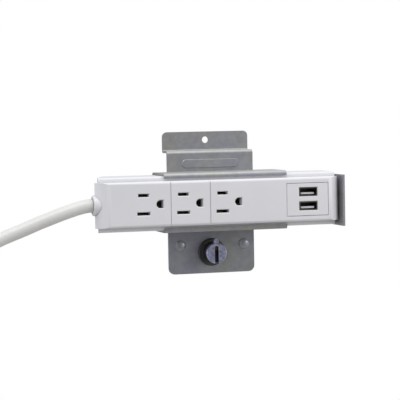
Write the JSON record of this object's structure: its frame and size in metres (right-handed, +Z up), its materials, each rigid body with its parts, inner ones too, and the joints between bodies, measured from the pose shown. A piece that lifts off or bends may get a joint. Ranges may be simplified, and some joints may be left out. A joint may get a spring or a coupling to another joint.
{
  "type": "power strip",
  "caption": "Grounded power strip with twin USB charging ports, held in a sheet-metal cradle on a hook-on wall panel bracket with a quarter-turn cam lock and a mains cord.",
  "frame": {"origin": "on the back face of the bracket's front plate, in the plane that the wall panel touches, on the plate's centre line and level with the strip's long centre line", "axes": "+X to the right along the strip seen from the front, +Y into the wall, +Z up; the outlets face -Y"},
  "size_m": [0.3881, 0.0592, 0.2271],
  "materials": {
    "bracket_paint": "satin grey powder coat",
    "zinc": "bright zinc plated",
    "dark_zinc": "dull dark zinc",
    "steel": "plain plated steel",
    "white_plastic": "satin white moulded plastic",
    "dark_insulator": "dark insulating plastic",
    "contact_brass": "bright",
    "usb_shell_steel": "formed tin-plated sheet",
    "usb_tongue": "pale blue-grey plastic",
    "board_green": "solder-mask green laminate",
    "cord_jacket": "satin white flexible jacket",
    "wire_black": "black wire insulation",
    "wire_white": "white wire insulation",
    "wire_green": "green wire insulation",
    "tie_fabric": "black hook-and-loop tape",
    "blade_nickel": "nickel-plated"
  },
  "bodies": {
    "bracket": {"bracket_plate": "bracket_paint", "cradle_channel": "bracket_paint", "cradle_rivet_1": "steel", "cradle_rivet_2": "steel", "cradle_rivet_3": "steel", "cradle_rivet_4": "steel", "cam_bushing": "dark_zinc", "cam_retaining_ring": "steel"},
    "cam": {"cam_knob": "zinc", "cam_spring_washer": "steel", "cam_lobe": "steel", "cam_screw": "steel"},
    "strip": {"base_tray": "white_plastic", "front_cover": "white_plastic", "usb_faceplate": "white_plastic", "cord_grommet": "white_plastic", "contact_block": "dark_insulator", "cord_clamp": "dark_insulator", "usb_transformer": "dark_insulator", "hot_bus": "contact_brass", "neutral_bus": "contact_brass", "earth_bus": "contact_brass", "hot_wire": "wire_black", "neutral_wire": "wire_white", "earth_wire": "wire_green", "usb_shell_upper": "usb_shell_steel", "usb_shell_lower": "usb_shell_steel", "usb_tongue_upper": "usb_tongue", "usb_tongue_lower": "usb_tongue", "usb_board": "board_green", "cord_jacket_stub": "cord_jacket", "cord_lead": "cord_jacket", "cord_coil": "cord_jacket", "cord_tail": "cord_jacket", "cord_tie": "tie_fabric", "plug_body": "cord_jacket", "plug_blade_hot": "blade_nickel", "plug_blade_neutral": "blade_nickel", "plug_pin_earth": "blade_nickel", "cover_screw_1": "steel", "cover_screw_2": "steel", "cover_screw_3": "steel", "cover_screw_4": "steel"}
  },
  "joints": [
    {"name": "cam_turn", "type": "hinge", "parent": "bracket", "child": "cam", "pos_m": [-0.0002, 0, -0.038], "axis": [0, 1, 0], "range_deg": [0, 90]},
    {"name": "strip_slide", "type": "slide", "parent": "bracket", "child": "strip", "axis": [-1, 0, 0], "range_m": [0, 0.13]}
  ]
}
